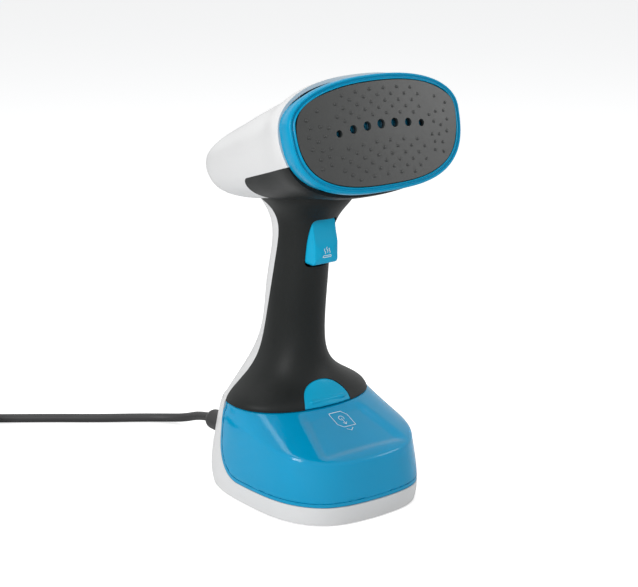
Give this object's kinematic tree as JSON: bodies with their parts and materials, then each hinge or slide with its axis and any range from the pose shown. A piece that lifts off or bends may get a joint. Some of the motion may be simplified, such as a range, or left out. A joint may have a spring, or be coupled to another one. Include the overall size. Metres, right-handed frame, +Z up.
{
  "type": "handheld garment steamer",
  "caption": "Handheld garment steamer that stands on its foot: wide oval steam plate in a blue ring, grey trigger handle, slide-off blue water tank, mains cord.",
  "frame": {"origin": "middle of the foot, on the surface it stands on", "axes": "+Z up, -Y the way the steam plate faces, +X to the right seen from behind the steam plate"},
  "size_m": [0.2918, 0.3861, 0.2922],
  "materials": {
    "white_plastic": "moulded, satin gloss",
    "grip_plastic": "moulded, fine matt texture",
    "ring_plastic": "moulded, gloss",
    "plate_metal": "dark ceramic-look coating",
    "diffuser_plastic": "moulded, heat-proof",
    "key_plastic": "moulded, satin",
    "tank_plastic": "clear tinted, polished",
    "cap_plastic": "moulded",
    "soft_rubber": "soft, matt",
    "tube_rubber": "silicone, matt",
    "cast_alloy": "as cast",
    "cover_alloy": "stamped",
    "steel": "plain",
    "control_plastic": "moulded, heat-proof",
    "plunger_plastic": "moulded",
    "inner_plastic": "moulded",
    "pump_plastic": "moulded",
    "valve_plastic": "moulded",
    "plate_plastic": "moulded",
    "cord_rubber": "flexible sheath, satin",
    "wire_rubber": "insulated wire",
    "plug_plastic": "moulded",
    "pin_brass": "bright"
  },
  "bodies": {
    "housing": {"base_screws": "steel", "boiler_body": "cast_alloy", "boiler_brackets": "steel", "boiler_cover": "cover_alloy", "boiler_screws": "steel", "bottom_plate": "plate_plastic", "button_spring": "steel", "clamp_screws": "steel", "cord_boot": "cord_rubber", "cord_clamp": "inner_plastic", "cord_coil": "cord_rubber", "cord_tail": "cord_rubber", "face_ring": "ring_plastic", "front_grip": "grip_plastic", "head_shell": "white_plastic", "heating_element": "steel", "inner_frame": "inner_plastic", "mains_cord": "cord_rubber", "plate_seal": "soft_rubber", "plug_body": "plug_plastic", "plug_pins": "pin_brass", "pressure_tube": "tube_rubber", "pump_body": "pump_plastic", "pump_mounts": "soft_rubber", "rear_cover": "white_plastic", "rubber_feet": "soft_rubber", "steam_diffuser": "diffuser_plastic", "steam_plate": "plate_metal", "suction_tube": "tube_rubber", "switch_body": "control_plastic", "tank_socket": "valve_plastic", "terminal_block": "control_plastic", "thermal_fuse": "control_plastic", "thermostat": "control_plastic", "trigger_pin": "steel", "trigger_spring": "steel", "wiring": "wire_rubber"},
    "trigger": {"trigger": "key_plastic"},
    "switch_button": {"switch_plunger": "plunger_plastic"},
    "release": {"release_button": "key_plastic"},
    "piston": {"pump_piston": "steel"},
    "tank": {"tank_shell": "tank_plastic", "tank_back": "tank_plastic", "filler_seal": "soft_rubber", "outlet_valve": "valve_plastic", "valve_spring": "steel"},
    "cap": {"filler_cap": "cap_plastic"},
    "valve": {"valve_plunger": "valve_plastic"}
  },
  "joints": [
    {"name": "trigger_hinge", "type": "hinge", "parent": "housing", "child": "trigger", "pos_m": [0, -0.007, 0.186], "axis": [1, 0, 0], "range_deg": [0, 6], "stiffness_Nm_per_rad": 0.6, "springref_deg": -2.86},
    {"name": "switch_press", "type": "slide", "parent": "housing", "child": "switch_button", "axis": [0, 1, 0], "range_m": [0, 0.0016]},
    {"name": "button_press", "type": "slide", "parent": "housing", "child": "release", "axis": [0, 1, 0], "range_m": [0, 0.0025], "stiffness_N_per_m": 800, "springref_m": -0.002},
    {"name": "piston_stroke", "type": "slide", "parent": "housing", "child": "piston", "axis": [0, 0, 1], "range_m": [0, 0.004], "stiffness_N_per_m": 400, "springref_m": -0.002},
    {"name": "tank_slide", "type": "slide", "parent": "housing", "child": "tank", "axis": [0, -1, 0], "range_m": [0, 0.11]},
    {"name": "cap_turn", "type": "hinge", "parent": "tank", "child": "cap", "pos_m": [0, 0.012, 0.0585], "axis": [0, 0, 1], "range_deg": [0, 90]},
    {"name": "valve_slide", "type": "slide", "parent": "tank", "child": "valve", "axis": [0, -1, 0], "range_m": [0, 0.0025], "stiffness_N_per_m": 400, "springref_m": -0.002}
  ],
  "couplings": [
    {"joint": "switch_press", "follows": "trigger_hinge", "m_per_rad": 0.015}
  ]
}
